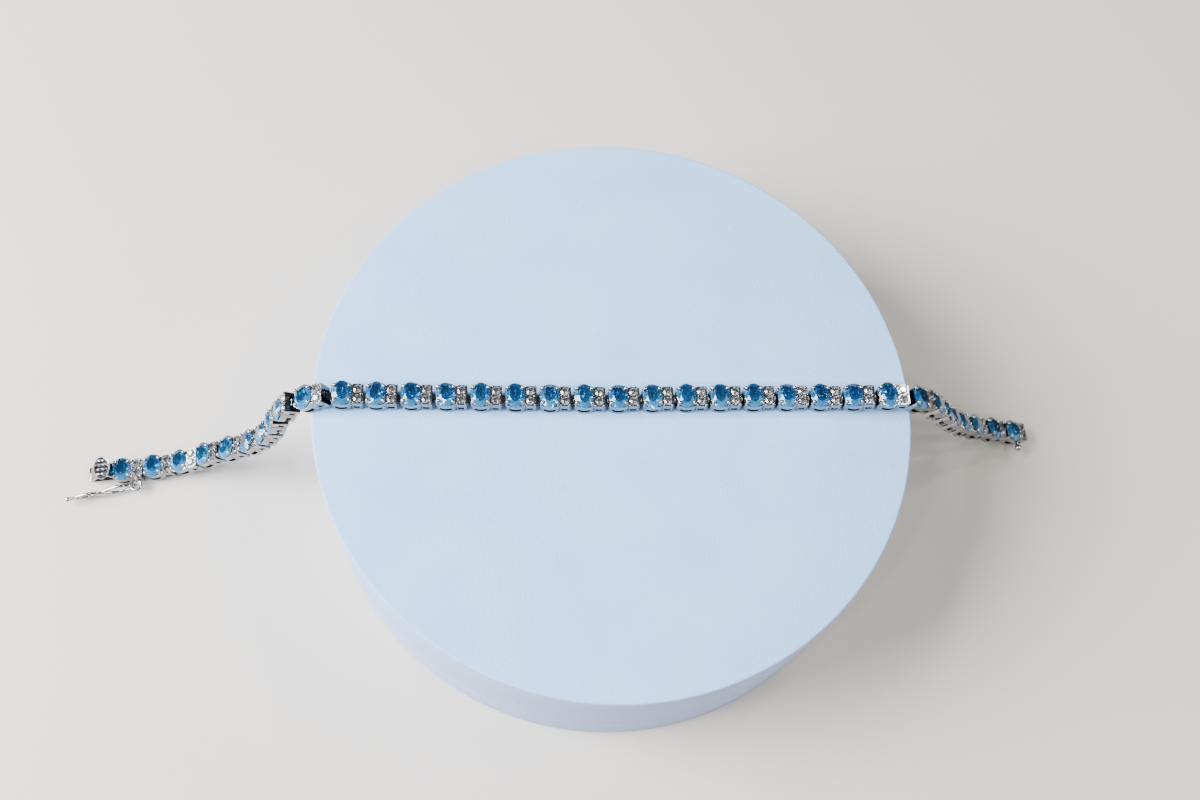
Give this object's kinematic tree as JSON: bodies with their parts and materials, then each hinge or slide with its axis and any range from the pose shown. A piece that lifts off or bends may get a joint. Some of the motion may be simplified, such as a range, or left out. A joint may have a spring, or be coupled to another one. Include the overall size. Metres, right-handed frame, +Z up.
{
  "type": "tennis bracelet on a round display plinth",
  "caption": "Open tennis bracelet of oval and paired round stones with a box clasp and a safety catch, draped over a round plinth.",
  "frame": {"origin": "middle of the plinth's underside, on the surface it stands on", "axes": "+X along the bracelet from the clasp tongue to the clasp box, +Y across it away from the safety catch, +Z up"},
  "size_m": [0.1652, 0.0924, 0.0318],
  "materials": {
    "plaster": "matte cast plaster",
    "silver": "polished, rhodium-plated silver",
    "blue_stone": "faceted and polished pale blue stone",
    "white_stone": "faceted and polished colourless stone"
  },
  "bodies": {
    "bracelet_on_plinth": {"plinth": "plaster", "clasp_tongue_link": "silver", "link_02": "silver", "link_03": "silver", "link_04": "silver", "link_05": "silver", "link_06": "silver", "link_07": "silver", "link_08": "silver", "link_09": "silver", "link_10": "silver", "link_11": "silver", "link_12": "silver", "link_13": "silver", "link_14": "silver", "link_15": "silver", "link_16": "silver", "link_17": "silver", "link_18": "silver", "link_19": "silver", "link_20": "silver", "link_21": "silver", "link_22": "silver", "link_23": "silver", "link_24": "silver", "link_25": "silver", "link_26": "silver", "link_27": "silver", "link_28": "silver", "link_29": "silver", "link_30": "silver", "link_31": "silver", "link_32": "silver", "link_33": "silver", "link_34": "silver", "clasp_box_link": "silver"},
    "safety_catch": {"safety_catch": "silver"}
  },
  "joints": [
    {"name": "safety_catch_turn", "type": "hinge", "parent": "bracelet_on_plinth", "child": "safety_catch", "pos_m": [-0.0783, -0.00499, 0.00149], "axis": [-0.001, -0.0001, 1], "range_deg": [-7, 143]}
  ]
}
